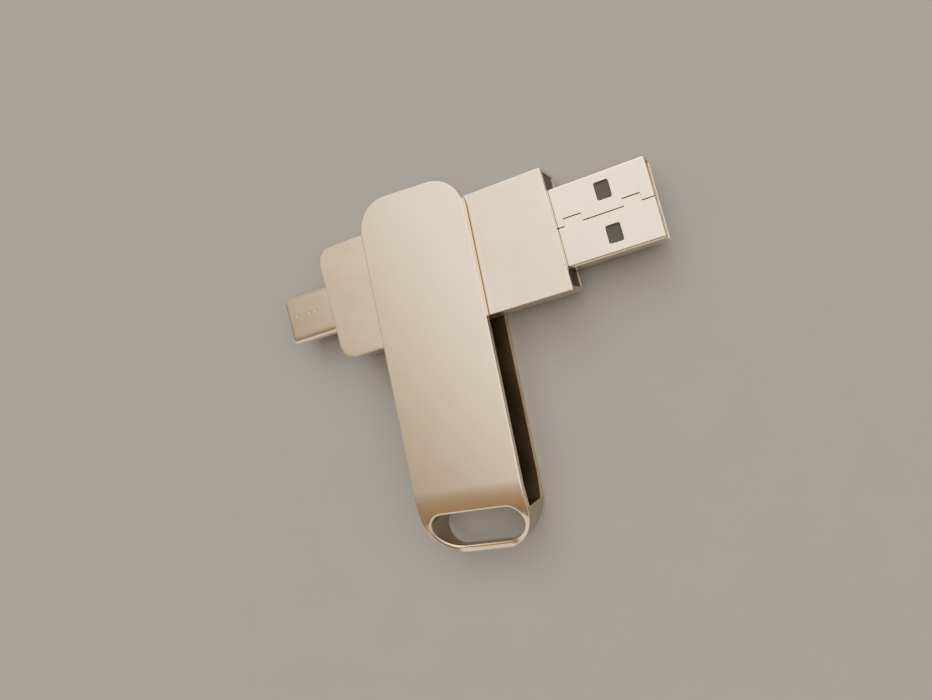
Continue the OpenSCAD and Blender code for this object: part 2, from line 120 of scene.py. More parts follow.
def inside(points, loops):
    count = np.zeros(len(points), int)
    for line in loops:
        a, b = line, np.roll(line, -1, 0)
        for i in range(0, len(points), 1000):
            x, y = points[i:i + 1000, 0][:, None], points[i:i + 1000, 1][:, None]
            crosses = (a[:, 1] > y) != (b[:, 1] > y)
            rise = np.where(b[:, 1] == a[:, 1], 1, b[:, 1] - a[:, 1])
            at = a[:, 0] + (y - a[:, 1]) * (b[:, 0] - a[:, 0]) / rise
            count[i:i + 1000] += (crosses & (x < at)).sum(1)
    return count % 2 == 1


def triangulate(loops, lines=(), rings=()):
    """Triangles of the region inside the loops whose edges follow the lines and rings."""
    coords, edges = [], []
    for points, closed in (
        [(p, True) for p in loops] + [(p, True) for p in rings] + [(p, False) for p in lines]
    ):
        first, count = len(coords), len(points)
        coords += [Vector(p) for p in np.asarray(points, float)]
        edges += [
            (first + i, first + (i + 1) % count) for i in range(count if closed else count - 1)
        ]
    found = delaunay_2d_cdt(coords, edges, [], 0, 1e-5)
    points = np.array([tuple(p) for p in found[0]], float)
    triangles = np.array([tuple(f) for f in found[2]], int)
    corner = points[triangles]
    area = np.cross(corner[:, 1] - corner[:, 0], corner[:, 2] - corner[:, 0])
    triangles[area < 0] = triangles[area < 0][:, ::-1]
    keep = inside(corner.mean(1), loops) & (np.abs(area) > 1e-9)
    return points, triangles[keep]


def border(triangles):
    """Directed edges of one triangle only, with the material on their left."""
    edges = {(int(t[i]), int(t[(i + 1) % 3])) for t in triangles for i in range(3)}
    return [e for e in edges if (e[1], e[0]) not in edges]


# ---- Rounded edges -------------------------------------------------------

def steps_of(radius, count=5):
    """Distances from an edge at which its rounding turns by equal angles."""
    return [radius * (1 - math.cos(math.pi / 2 * k / count)) for k in range(1, count + 1)]


def drop(distance, radius):
    """How far a rounded edge has fallen at a distance from it."""
    left = np.clip(radius - distance, 0, radius)
    return radius - np.sqrt(radius ** 2 - left ** 2)


def fade(distance, reach):
    """1 at an edge, 0 from reach on."""
    t = np.clip(1 - distance / reach, 0, 1)
    return t * t * (3 - 2 * t)


class Solid:
    """Collects faces and makes them one closed mesh with a wear attribute."""

    def __init__(self):
        self.points, self.wear, self.faces, self.kinds = [], [], [], []

    def add(self, points, faces, wear=0.0, kind=0):
        first = len(self.points)
        points = np.asarray(points, float)
        self.points += list(points)
        self.wear += list(np.broadcast_to(np.asarray(wear, float), len(points)))
        for face in faces:
            self.faces.append([first + int(i) for i in face])
            self.kinds.append(kind)

    def walls(self, edges, upper, lower, wear=0.0, kind=0, wear_low=None):
        """Quads that join two skins along directed edges."""
        count = len(upper)
        faces = [(a, count + a, count + b, b) for a, b in edges]
        both = np.vstack((upper, lower))
        pair = (wear, wear if wear_low is None else wear_low)
        wear = np.concatenate([np.broadcast_to(np.asarray(w, float), count) for w in pair])
        self.add(both, faces, wear, kind)

    def piece(self, name, body, materials, replaces):
        """Makes the mesh object, rides it on its body and puts it in place of a CAD node."""
        bm = bmesh.new()
        layer = bm.verts.layers.float.new("wear")
        used = sorted({i for f in self.faces for i in f})
        verts = {}
        for i in used:
            verts[i] = bm.verts.new(Vector(self.points[i]))
            verts[i][layer] = float(self.wear[i])
        for face, kind in zip(self.faces, self.kinds):
            if len(set(face)) > 2:
                try:
                    bm.faces.new([verts[i] for i in face]).material_index = kind
                except ValueError:
                    pass
        bmesh.ops.remove_doubles(bm, verts=bm.verts, dist=WELD_DISTANCE)
        bmesh.ops.dissolve_degenerate(bm, edges=bm.edges, dist=1e-4)
        bmesh.ops.recalc_face_normals(bm, faces=bm.faces)
        loose = [e for e in bm.edges if not e.is_manifold]
        if loose:
            print(name, "has open edges:", len(loose))
        bmesh.ops.scale(bm, vec=(MM, MM, MM), verts=bm.verts)
        mesh = bpy.data.meshes.new(name)
        bm.to_mesh(mesh)
        bm.free()
        mesh.shade_smooth()
        mesh.set_sharp_from_angle(angle=SHARP_ANGLE)
        for m in materials:
            mesh.materials.append(m)
        obj = bpy.data.objects.new(name, mesh)
        bpy.context.scene.collection.objects.link(obj)
        even = obj.modifiers.new("even_normals", "WEIGHTED_NORMAL")
        even.keep_sharp = True
        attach(obj, body)
        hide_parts(*replaces)


# ---- Materials -----------------------------------------------------------

def shader(name, metallic=0.0, specular=0.5):
    m = bpy.data.materials.new(name)
    m.use_nodes = True
    tree = m.node_tree
    p = tree.nodes["Principled BSDF"]
    p.inputs["Metallic"].default_value = metallic
    p.inputs["Specular IOR Level"].default_value = specular
    p.inputs["IOR"].default_value = 1.5
    return m, tree, p


def link(tree, a, b):
    tree.links.new(a, b)


def math_node(tree, kind, a, b=None):
    n = tree.nodes.new("ShaderNodeMath")
    n.operation = kind
    for i, value in enumerate((a, b)):
        if value is None:
            continue
        if isinstance(value, (int, float)):
            n.inputs[i].default_value = value
        else:
            link(tree, value, n.inputs[i])
    return n.outputs[0]


def spread(tree, value, low, high, to_low, to_high):
    n = tree.nodes.new("ShaderNodeMapRange")
    n.interpolation_type = "SMOOTHSTEP"
    link(tree, value, n.inputs["Value"])
    for key, v in (("From Min", low), ("From Max", high), ("To Min", to_low), ("To Max", to_high)):
        n.inputs[key].default_value = v
    return n.outputs["Result"]


def place_of(tree, stretch=(1, 1, 1), turn=0.0):
    """Object coordinates in millimetres, stretched and turned about Z."""
    where = tree.nodes.new("ShaderNodeTexCoord")
    n = tree.nodes.new("ShaderNodeMapping")
    n.inputs["Scale"].default_value = [s / MM for s in stretch]
    n.inputs["Rotation"].default_value = (0, 0, turn)
    if turn:
        spin = tree.nodes.new("ShaderNodeMapping")
        spin.inputs["Rotation"].default_value = (0, 0, turn)
        n.inputs["Rotation"].default_value = (0, 0, 0)
        link(tree, where.outputs["Object"], spin.inputs["Vector"])
        link(tree, spin.outputs["Vector"], n.inputs["Vector"])
    else:
        link(tree, where.outputs["Object"], n.inputs["Vector"])
    return n.outputs["Vector"]


def noise(tree, scale, detail=2.0, rough=0.5, stretch=(1, 1, 1), turn=0.0):
    n = tree.nodes.new("ShaderNodeTexNoise")
    n.inputs["Scale"].default_value = scale
    n.inputs["Detail"].default_value = detail
    n.inputs["Roughness"].default_value = rough
    link(tree, place_of(tree, stretch, turn), n.inputs["Vector"])
    return n.outputs["Fac"]


def tint(tree, factor, a, b):
    n = tree.nodes.new("ShaderNodeMix")
    n.data_type = "RGBA"
    n.clamp_factor = True
    if isinstance(factor, (int, float)):
        n.inputs[0].default_value = factor
    else:
        link(tree, factor, n.inputs[0])
    for value, socket in ((a, n.inputs[6]), (b, n.inputs[7])):
        if isinstance(value, tuple):
            socket.default_value = (*value, 1)
        else:
            link(tree, value, socket)
    return n.outputs[2]


def bump(tree, p, height, strength, distance):
    n = tree.nodes.new("ShaderNodeBump")
    n.inputs["Strength"].default_value = strength
    n.inputs["Distance"].default_value = distance * MM
    link(tree, height, n.inputs["Height"])
    link(tree, n.outputs["Normal"], p.inputs["Normal"])


def wear_of(tree):
    n = tree.nodes.new("ShaderNodeAttribute")
    n.attribute_name = "wear"
    return n.outputs["Fac"]


def satin(name, light, dark, rough, grain=0.5, turn=0.0, brushed=0.5, mottle=1.0, worn=None):
    """Satin-plated metal: cloudy tone, hairline brushing, fine grain, polished worn edges."""
    m, tree, p = shader(name, metallic=1.0)
    clouds = noise(tree, 0.16, 3, 0.55)
    blotch = noise(tree, 0.6, 4, 0.6)
    hair = noise(tree, 1.0, 3, 0.6, stretch=(0.35, 9.0, 2.0), turn=turn)
    fine = noise(tree, 11.0, 2, 0.6)
    edge = wear_of(tree)
    nicks = noise(tree, 2.2, 4, 0.7)
    rubbed = math_node(tree, "MULTIPLY", edge, spread(tree, nicks, 0.3, 0.62, 0.25, 1.0))
    tone = tint(tree, spread(tree, clouds, 0.3, 0.7, 0, 1), dark, light)
    speck = tuple(c * 0.93 for c in dark)
    tone = tint(tree, spread(tree, blotch, 0.5, 0.8, 0, 0.4 * mottle), tone, speck)
    tone = tint(tree, math_node(tree, "MULTIPLY", rubbed, 0.6), tone, worn or light)
    link(tree, tone, p.inputs["Base Color"])
    r = math_node(tree, "ADD", rough - 0.06, math_node(tree, "MULTIPLY", blotch, 0.08 * mottle))
    r = math_node(tree, "ADD", r, math_node(tree, "MULTIPLY", hair, 0.05 * brushed))
    r = math_node(tree, "SUBTRACT", r, math_node(tree, "MULTIPLY", rubbed, 0.09))
    link(tree, r, p.inputs["Roughness"])
    height = math_node(tree, "MULTIPLY", hair, brushed)
    height = math_node(tree, "ADD", height, math_node(tree, "MULTIPLY", fine, grain))
    bump(tree, p, height, 0.35, 0.004)
    return m


def moulded(name, light, dark, rough, grain=1.0, scale=3.0, specular=0.5):
    """Moulded plastic: fine spark texture, slight flow marks, uneven gloss."""
    m, tree, p = shader(name, specular=specular)
    flow = noise(tree, 0.25, 3, 0.5, stretch=(1, 2.5, 1))
    fine = noise(tree, 6 * scale, 3, 0.6)
    patch = noise(tree, 0.8, 3, 0.6)
    tone = tint(tree, spread(tree, flow, 0.3, 0.7, 0, 1), dark, light)
    spark = tuple(c * 1.35 + 0.01 for c in light)
    tone = tint(tree, spread(tree, fine, 0.45, 0.85, 0, 0.25), tone, spark)
    link(tree, tone, p.inputs["Base Color"])
    r = math_node(tree, "ADD", rough - 0.08, math_node(tree, "MULTIPLY", patch, 0.16))
    link(tree, r, p.inputs["Roughness"])
    bump(tree, p, fine, 0.3 * grain, 0.01)
    return m


def gilded(name):
    """Gold flash over nickel, rubbed thin in streaks along the contact."""
    m, tree, p = shader(name, metallic=1.0)
    streak = noise(tree, 1.0, 4, 0.65, stretch=(0.3, 6, 6))
    fine = noise(tree, 9.0, 2, 0.6)
    tone = tint(tree, spread(tree, streak, 0.35, 0.75, 0, 1), (0.86, 0.62, 0.24), (0.78, 0.66, 0.42))
    link(tree, tone, p.inputs["Base Color"])
    r = math_node(tree, "ADD", 0.16, math_node(tree, "MULTIPLY", streak, 0.2))
    link(tree, r, p.inputs["Roughness"])
    bump(tree, p, math_node(tree, "ADD", streak, fine), 0.2, 0.004)
    return m


def tinned(name, light, dark, rough):
    """Dull plated or drawn metal with a crystal bloom."""
    m, tree, p = shader(name, metallic=1.0)
    bloom = noise(tree, 4.0, 4, 0.65)
    fine = noise(tree, 16.0, 2, 0.6)
    tone = tint(tree, spread(tree, bloom, 0.3, 0.7, 0, 1), dark, light)
    link(tree, tone, p.inputs["Base Color"])
    r = math_node(tree, "ADD", rough, math_node(tree, "MULTIPLY", bloom, 0.18))
    link(tree, r, p.inputs["Roughness"])
    bump(tree, p, fine, 0.25, 0.005)
    return m


def laminate(name):
    """Solder mask over copper tracks: raised paler lines in a dark green field."""
    m, tree, p = shader(name)
    tracks = tree.nodes.new("ShaderNodeTexBrick")
    tracks.inputs["Scale"].default_value = 1.1
    tracks.inputs["Mortar Size"].default_value = 0.06
    tracks.inputs["Color1"].default_value = (0, 0, 0, 1)
    tracks.inputs["Color2"].default_value = (0.2, 0.2, 0.2, 1)
    tracks.inputs["Mortar"].default_value = (1, 1, 1, 1)
    link(tree, place_of(tree), tracks.inputs["Vector"])
    weave = noise(tree, 5.0, 3, 0.6, stretch=(1, 3, 1))
    tone = tint(tree, tracks.outputs["Color"], (0.012, 0.11, 0.05), (0.03, 0.2, 0.09))
    tone = tint(tree, spread(tree, weave, 0.4, 0.8, 0, 0.4), tone, (0.02, 0.07, 0.035))
    link(tree, tone, p.inputs["Base Color"])
    r = math_node(tree, "ADD", 0.25, math_node(tree, "MULTIPLY", weave, 0.2))
    link(tree, r, p.inputs["Roughness"])
    bump(tree, p, tracks.outputs["Color"], 0.4, 0.03)
    return m


def capped(name, body, cap):
    """Chip component: fired body, with tinned ends on the faces across its length."""
    m, tree, p = shader(name)
    where = tree.nodes.new("ShaderNodeTexCoord")
    split = tree.nodes.new("ShaderNodeSeparateXYZ")
    link(tree, where.outputs["Normal"], split.inputs[0])
    end = math_node(tree, "GREATER_THAN", math_node(tree, "ABSOLUTE", split.outputs[0]), 0.6)
    pores = noise(tree, 7.0, 4, 0.7)
    fired = tint(tree, spread(tree, pores, 0.35, 0.7, 0, 1), body, tuple(c * 0.7 for c in body))
    link(tree, tint(tree, end, fired, cap), p.inputs["Base Color"])
    link(tree, math_node(tree, "MULTIPLY", end, 0.9), p.inputs["Metallic"])
    r = math_node(tree, "ADD", 0.35, math_node(tree, "MULTIPLY", pores, 0.3))
    link(tree, r, p.inputs["Roughness"])
    bump(tree, p, pores, 0.3, 0.01)
    return m


COVER_TURN = math.radians(-93.6)

cover_metal = satin("cover_satin", (0.87, 0.755, 0.565), (0.85, 0.735, 0.545), 0.28,
                    grain=0.25, turn=-COVER_TURN, brushed=0.08, mottle=0.25,
                    worn=(0.93, 0.86, 0.72))
# A darker copy of the cover's plate, for its slot walls and nose walls: painted shade and painted dark
# reflection.
cover_wall_shade = satin("cover_wall_shade", (0.50, 0.42, 0.32), (0.38, 0.32, 0.24), 0.30,
                   grain=0.2, turn=-COVER_TURN, brushed=0.0, mottle=0.5)
cover_rim = satin("cover_rim", (0.80, 0.69, 0.52), (0.72, 0.62, 0.46), 0.30,
                  grain=0.25, brushed=0.0, mottle=0.5)
# A near-black copy of the cover's plate, for the leaves' inner faces and the cavity's end: painted
# shade between the leaves.
cover_inner_shade = satin("cover_inner_shade", (0.20, 0.16, 0.12), (0.13, 0.11, 0.08), 0.36,
                     grain=0.6, turn=-COVER_TURN, brushed=0.5)
case_metal = satin("case_satin", (0.83, 0.715, 0.53), (0.72, 0.62, 0.455), 0.32,
                   grain=0.25, turn=math.pi / 2, brushed=0.2, mottle=1.0,
                   worn=(0.92, 0.85, 0.71))
plug_metal = satin("plug_nickel", (0.87, 0.76, 0.58), (0.80, 0.70, 0.525), 0.28,
                   grain=0.22, brushed=0.25, mottle=0.7,
                   worn=(0.95, 0.90, 0.79))
bezel_black = moulded("bezel_black", (0.020, 0.020, 0.021), (0.013, 0.013, 0.014), 0.42)
tongue_grey = moulded("tongue_grey", (0.026, 0.033, 0.040), (0.022, 0.028, 0.034), 0.5,
                      specular=0.36)
mouth_black = moulded("mouth_black", (0.024, 0.024, 0.025), (0.016, 0.016, 0.017), 0.45)
carrier_black = moulded("carrier_black", (0.035, 0.035, 0.037), (0.025, 0.025, 0.027), 0.5)
washer_white = moulded("washer_white", (0.78, 0.76, 0.70), (0.70, 0.68, 0.62), 0.45)
chip_black = moulded("chip_black", (0.030, 0.030, 0.033), (0.020, 0.020, 0.022), 0.6,
                     grain=1.6, scale=4)
stud_steel = tinned("stud_steel", (0.62, 0.61, 0.58), (0.52, 0.51, 0.49), 0.28)
lead_tin = tinned("lead_tin", (0.78, 0.78, 0.76), (0.66, 0.66, 0.65), 0.32)
can_steel = tinned("can_steel", (0.80, 0.78, 0.72), (0.70, 0.68, 0.63), 0.22)
latch_steel = tinned("latch_steel", (0.74, 0.73, 0.70), (0.64, 0.63, 0.61), 0.25)
contact_gold = gilded("contact_gold")
board_green = laminate("board_green")
capacitor_tan = capped("capacitor_tan", (0.42, 0.30, 0.17), (0.72, 0.72, 0.70))
resistor_black = capped("resistor_black", (0.03, 0.03, 0.034), (0.72, 0.72, 0.70))

NODE_MATERIALS = {
    "upper_pivot_stud": stud_steel, "lower_pivot_stud": stud_steel,
    "upper_friction_washer": washer_white, "lower_friction_washer": washer_white,
    "front_bezel": bezel_black, "upper_carrier": carrier_black,
    "lower_carrier": carrier_black, "circuit_board": board_green,
    "flash_chip": chip_black, "flash_chip_leads": lead_tin,
    "controller_chip": chip_black, "controller_leads": lead_tin,
    "clock_crystal": can_steel, "voltage_regulator": chip_black,
    "regulator_leads": lead_tin, "capacitors": capacitor_tan,
    "resistors": resistor_black, "usb_a_insulator": tongue_grey,
    "usb_a_contacts": contact_gold, "usb_c_insulator": mouth_black,
    "usb_c_latch_plate": latch_steel, "usb_c_upper_contacts": contact_gold,
    "usb_c_lower_contacts": contact_gold,
    "swivel_cover": cover_metal, "housing_case": case_metal,
    "usb_a_shell": plug_metal, "usb_c_shell": plug_metal,
}
SOFTENED = {
    "front_bezel": 0.12, "usb_a_insulator": 0.05, "usb_a_contacts": 0.03,
    "usb_c_insulator": 0.04, "upper_carrier": 0.08, "lower_carrier": 0.08,
    "flash_chip": 0.05, "controller_chip": 0.05, "clock_crystal": 0.12,
    "voltage_regulator": 0.05,
}


def dress_cad_nodes():
    for name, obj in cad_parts.items():
        obj.data.materials.clear()
        obj.data.materials.append(NODE_MATERIALS[name])
        if name in SOFTENED:
            edge = obj.modifiers.new("soft_edges", "BEVEL")
            edge.width = SOFTENED[name] * MM
            edge.segments = 2
            edge.limit_method = "ANGLE"
            edge.angle_limit = math.radians(50)
            even = obj.modifiers.new("even_normals", "WEIGHTED_NORMAL")
            even.keep_sharp = True


# ---- Swivel cover --------------------------------------------------------
# Drawn along u from the pivot, with v across, then turned across the drive.

STACK = box_mm("swivel_cover")[1].z
MID = STACK / 2
LEAF = 1.2
REACH, TAIL, LOWER_TAIL, HALF = 43.4, 12.8, 11.8, 8.75
TAIL_CORNER, NOSE_CORNER = 5.0, 6.5
BEND, TIP = 16.0, 1.3
TIP_U = REACH - TIP
BEND_U = TIP_U - math.sqrt((BEND - TIP) ** 2 - (BEND - MID) ** 2)
TANGENT_U = TIP_U + TIP * (TIP_U - BEND_U) / (BEND - TIP)
NOSE_SOLID = 6.4
CAVITY_U = REACH - NOSE_SOLID
EDGE_WEAR, RIM_WEAR = 0.26, 0.42
BAR_BEVEL, BAR_RIM_LOSS = 0.55, 0.16
BAR, BAR_HALF, FAR_CORNER = 1.3, 3.6, 4.0
SLOT_U, NEAR_CORNER = 36.5, 2.3


def cover_top(u):
    """Height of the upper leaf's outer face."""
    bent = MID - (BEND - MID) + np.sqrt(np.clip(BEND ** 2 - (u - BEND_U) ** 2, 0, None))
    tip = MID + np.sqrt(np.clip(TIP ** 2 - (u - TIP_U) ** 2, 0, None))
    return np.where(u < BEND_U, STACK, np.where(u < TANGENT_U, bent, tip))


def cover_under(u):
    """Height of the upper leaf's inner face."""
    inner = BEND - LEAF
    bent = MID - (BEND - MID) + np.sqrt(np.clip(inner ** 2 - (u - BEND_U) ** 2, 0, None))
    return np.where(u < BEND_U, STACK - LEAF, bent)


def cover_outline():
    nose_u, nose_v = REACH - NOSE_CORNER, HALF - NOSE_CORNER
    tail_u, tail_v = -TAIL + TAIL_CORNER, HALF - TAIL_CORNER
    return chain(
        arc((nose_u, -nose_v), NOSE_CORNER, -90, 0, 100),
        arc((nose_u, nose_v), NOSE_CORNER, 0, 90, 100),
        arc((tail_u, tail_v), TAIL_CORNER, 90, 180, 28),
        arc((tail_u, -tail_v), TAIL_CORNER, 180, 270, 28),
    )


def slot_outline():
    arc_u, arc_v = REACH - BAR - FAR_CORNER, BAR_HALF
    near_u = SLOT_U + NEAR_CORNER
    near_v = arc_v + math.sqrt((FAR_CORNER - NEAR_CORNER) ** 2 - (near_u - arc_u) ** 2)
    meet = math.degrees(math.atan2(near_v - arc_v, near_u - arc_u))
    return chain(
        arc((near_u, -near_v), NEAR_CORNER, 180, 360 - meet, 18),
        arc((arc_u, -arc_v), FAR_CORNER, -meet, 0, 26),
        arc((arc_u, arc_v), FAR_CORNER, 0, meet, 26),
        arc((near_u, near_v), NEAR_CORNER, meet, 180, 18),
    )[::-1]


def cover_piece():
    outer, slot = cover_outline(), slot_outline()
    edge, under, rim = 0.14, 0.1, 0.42
    bar_start = SLOT_U + 1
    bend_steps = list(np.linspace(BEND_U, TANGENT_U, 30))
    tip_start = math.asin((TANGENT_U - TIP_U) / TIP)
    tip_steps = [TIP_U + TIP * math.sin(a) for a in np.linspace(tip_start, math.pi / 2, 9)[1:-1]]
    lines = [
        np.array([(u, -HALF - 1), (u, HALF + 1)]) for u in bend_steps + tip_steps + [CAVITY_U]
    ]
    rings = [inset(outer, d) for d in steps_of(edge, 4) + [under, EDGE_WEAR]]
    rings += [inset(slot, d) for d in steps_of(rim, 7) + [0.05, under]]
    points, triangles = triangulate([outer, slot], lines, rings)
    u, v = points[:, 0], points[:, 1]
    to_outer, to_slot = distance_to(points, outer), distance_to(points, slot)
    height = cover_top(u) - MID
    room = np.clip(height / 0.7, 0, 1)
    share = np.clip((u - bar_start) / (REACH - BAR - bar_start), 0, 1)
    fall = drop(to_outer, edge) * room + drop(to_slot, rim - BAR_RIM_LOSS * share)
    fall += BAR_BEVEL * share * np.clip(1 - to_slot, 0, None)
    upper_z = MID + np.clip(height - fall, 0, None)
    under_z = cover_under(u) + drop(np.minimum(to_outer, to_slot), under)
    wear = np.maximum(fade(to_outer, EDGE_WEAR), 0.8 * fade(to_slot, RIM_WEAR))

    def turned(z, tail):
        """In the drive's frame, with the part behind the pivot shrunk to the tail given."""
        c, s = math.cos(COVER_TURN), math.sin(COVER_TURN)
        along = np.where(u < 0, u * tail / TAIL, u)
        return np.column_stack((along * c - v * s, along * s + v * c, z))

    upper, lower = turned(upper_z, TAIL), turned(2 * MID - upper_z, LOWER_TAIL)
    roof, ground = turned(under_z, TAIL), turned(2 * MID - under_z, LOWER_TAIL)
    open_part = triangles[points[triangles].mean(1)[:, 0] < CAVITY_U]
    solid = Solid()
    solid.add(upper, triangles, wear)
    solid.add(lower, triangles[:, ::-1], wear)
    # The inner skins take material 1, the near-black copy of the plate: painted shade.
    solid.add(roof, open_part[:, ::-1], 0, kind=1)
    solid.add(ground, open_part, 0, kind=1)
    edges = border(triangles)
    short = [e for e in edges if max(u[e[0]], u[e[1]]) < CAVITY_U + 1e-3]
    tall = [e for e in edges if max(u[e[0]], u[e[1]]) >= CAVITY_U + 1e-3]
    at_rim = to_outer < to_slot
    # Walls of kind 2, at the slot and round the nose, take the darker copy of the plate: painted shade
    # and dark reflection.
    for part, kind in (([e for e in short if at_rim[e[0]]], 3),
                       ([e for e in short if not at_rim[e[0]]], 2)):
        solid.walls(part, upper, roof, wear, kind, 0)
        solid.walls(part, ground, lower, 0, kind, wear)
    end = np.abs(u - CAVITY_U) < 1e-3
    for a, b in tall:
        ring = [(upper[a], wear[a])]
        ring += [(roof[a], 0), (ground[a], 0)] if end[a] else []
        ring += [(lower[a], wear[a]), (lower[b], wear[b])]
        ring += [(ground[b], 0), (roof[b], 0)] if end[b] else []
        ring.append((upper[b], wear[b]))
        solid.add([p for p, _ in ring], [range(len(ring))], [w for _, w in ring], kind=2)
    known = set(short)
    closed = [e for e in border(open_part) if end[e[0]] and end[e[1]] and e not in known]
    solid.walls(closed, ground, roof, 0, kind=1)
    # Materials 1 and 2 are darkened copies of the plate: painted shade.
    solid.piece("cover_body", "cover",
                [cover_metal, cover_inner_shade, cover_wall_shade, cover_rim], ["swivel_cover"])


# ---- Case ----------------------------------------------------------------

def case_piece():
    low, high = box_mm("housing_case")
    wall, corner, edge, lip, rim = 0.6, 2.2, 0.16, 0.24, 0.1
    side_wear, front_wear, hole_edge, clearance = 0.45, 0.3, 0.08, 0.03
    back, front, half, top, bottom = low.x, high.x, high.y, high.z, low.z
    middle = (top + bottom) / 2
    bore_low, bore_high = box_mm("upper_pivot_stud")
    bore = (bore_high.x - bore_low.x) / 2 + 0.05

    def side_line(distance, reach):
        """The sides and back, moved in, from the front's left end to its right end."""
        radius = corner - distance
        return np.vstack((
            [(front + reach, half - distance)],
            arc((back + corner, half - corner), radius, 90, 180, 14),
            arc((back + corner, corner - half), radius, 180, 270, 14),
            [(front + reach, distance - half)],
        ))

    outer = chain(side_line(0, 0))
    hole = arc((0, 0), bore, 0, 360, 64)[:-1][::-1]
    tick_y, tick_half, tick_x, tick_depth = -5.4, 0.09, 20.35, 0.07
    tick = [
        np.array([(tick_x, tick_y + s * tick_half), (front + 1, tick_y + s * tick_half)])
        for s in (-1, 0, 1)
    ]
    lines = [side_line(d, 1) for d in steps_of(edge) + [side_wear]]
    for d in steps_of(lip) + [front_wear]:
        lines.append(np.array([(front - d, -half - 1), (front - d, half + 1)]))
    lines += tick + [np.array([(tick_x, tick_y - tick_half), (tick_x, tick_y + tick_half)])]
    lines.append(side_line(wall, 0))
    rings = [inset(hole, d) for d in steps_of(rim, 3)]
    points, triangles = triangulate([outer, hole], lines, rings)
    x, y = points[:, 0], points[:, 1]
    to_side = distance_to(points, side_line(0, 5), closed=False)
    to_front = front - x
    to_bore = distance_to(points, hole)
    fall = np.maximum(drop(to_side, edge), drop(to_front, lip))
    fall = np.maximum(fall, drop(to_bore, rim))
    in_tick = (x > tick_x + 1e-3) * np.clip(1 - np.abs(y - tick_y) / tick_half, 0, 1)
    upper_fall = fall + tick_depth * in_tick
    wear = np.maximum(fade(to_side, side_wear), 0.9 * fade(to_front, front_wear))

    def at(z):
        return np.column_stack((x, y, np.broadcast_to(z, len(x))))

    upper, lower = at(top - upper_fall), at(bottom + fall)
    roof, ground = at(top - wall), at(bottom + wall)
    hollow = chain(side_line(wall, 0))
    within = triangles[inside(points[triangles].mean(1), [hollow, hole])]
    solid = Solid()
    solid.add(upper, triangles, wear)
    solid.add(lower, triangles[:, ::-1], wear)
    solid.add(roof, within[:, ::-1])
    solid.add(ground, within)
    edges = border(triangles)
    at_bore = [e for e in edges if to_bore[e[0]] < 1e-3 and to_bore[e[1]] < 1e-3]
    at_front = [e for e in edges if to_front[e[0]] < 1e-3 and to_front[e[1]] < 1e-3]
    mouth = [e for e in at_front if abs(y[e[0]] + y[e[1]]) / 2 < half - wall]
    flat = half - corner + 1e-3
    at_back = [
        e for e in edges if all(abs(x[i] - back) < 1e-3 and abs(y[i]) < flat for i in e)
    ]
    for e in edges:
        solid.walls([e], upper, roof, wear, 0, 0)
        solid.walls([e], ground, lower, 0, 0, wear)
    cut = set(at_bore) | set(mouth)
    open_edges = cut | set(at_back)
    full = [e for e in edges if e not in open_edges]
    solid.walls(full, roof, ground)
    inner = [e for e in border(within) if e not in cut]
    panel = {
        e for e in inner if all(abs(x[i] - back - wall) < 1e-3 and abs(y[i]) < flat for i in e)
    }
    solid.walls([e for e in inner if e not in panel], ground, roof)

    plug_low, plug_high = box_mm("usb_c_shell")
    y_half = plug_high.y + clearance
    z_half = (plug_high.z - plug_low.z) / 2 + clearance
    z0, z1, y1 = bottom + wall, top - wall, half - corner
    sheet = np.array([(-y1, z0), (y1, z0), (y1, z1), (-y1, z1)])
    opening = rounded((-y_half, middle - z_half), (y_half, middle + z_half), z_half - 0.01, 12)[::-1]
    rings = [inset(opening, d) for d in steps_of(hole_edge, 3)]
    flats, cells = triangulate([sheet, opening], [], rings)
    sunk = drop(distance_to(flats, opening), hole_edge)
    outside = np.column_stack((back + sunk, flats))
    lining = np.column_stack((np.full(len(flats), back + wall), flats))
    solid.add(outside, cells[:, ::-1])
    solid.add(lining, cells)
    hole_edges = [e for e in border(cells) if all(distance_to(flats[list(e)], opening) < 1e-3)]
    solid.walls(hole_edges, outside, lining)
    solid.piece("case_body", "drive", [case_metal], ["housing_case"])


# ---- USB-A plug's folded shell -------------------------------------------

BENDS, FOLD_STEPS = (1, 3, 5, 7), 7
WINDOW_BACK, WINDOW_FRONT, WINDOW_WIDE, WINDOW_OFF, WINDOW_CORNER = 27.6, 29.7, 2.6, 1.85, 0.3
JOGGLES = ((33.4, 1.1), (30.85, 0.0), (24.9, 1.1), (22.2, 0.0))


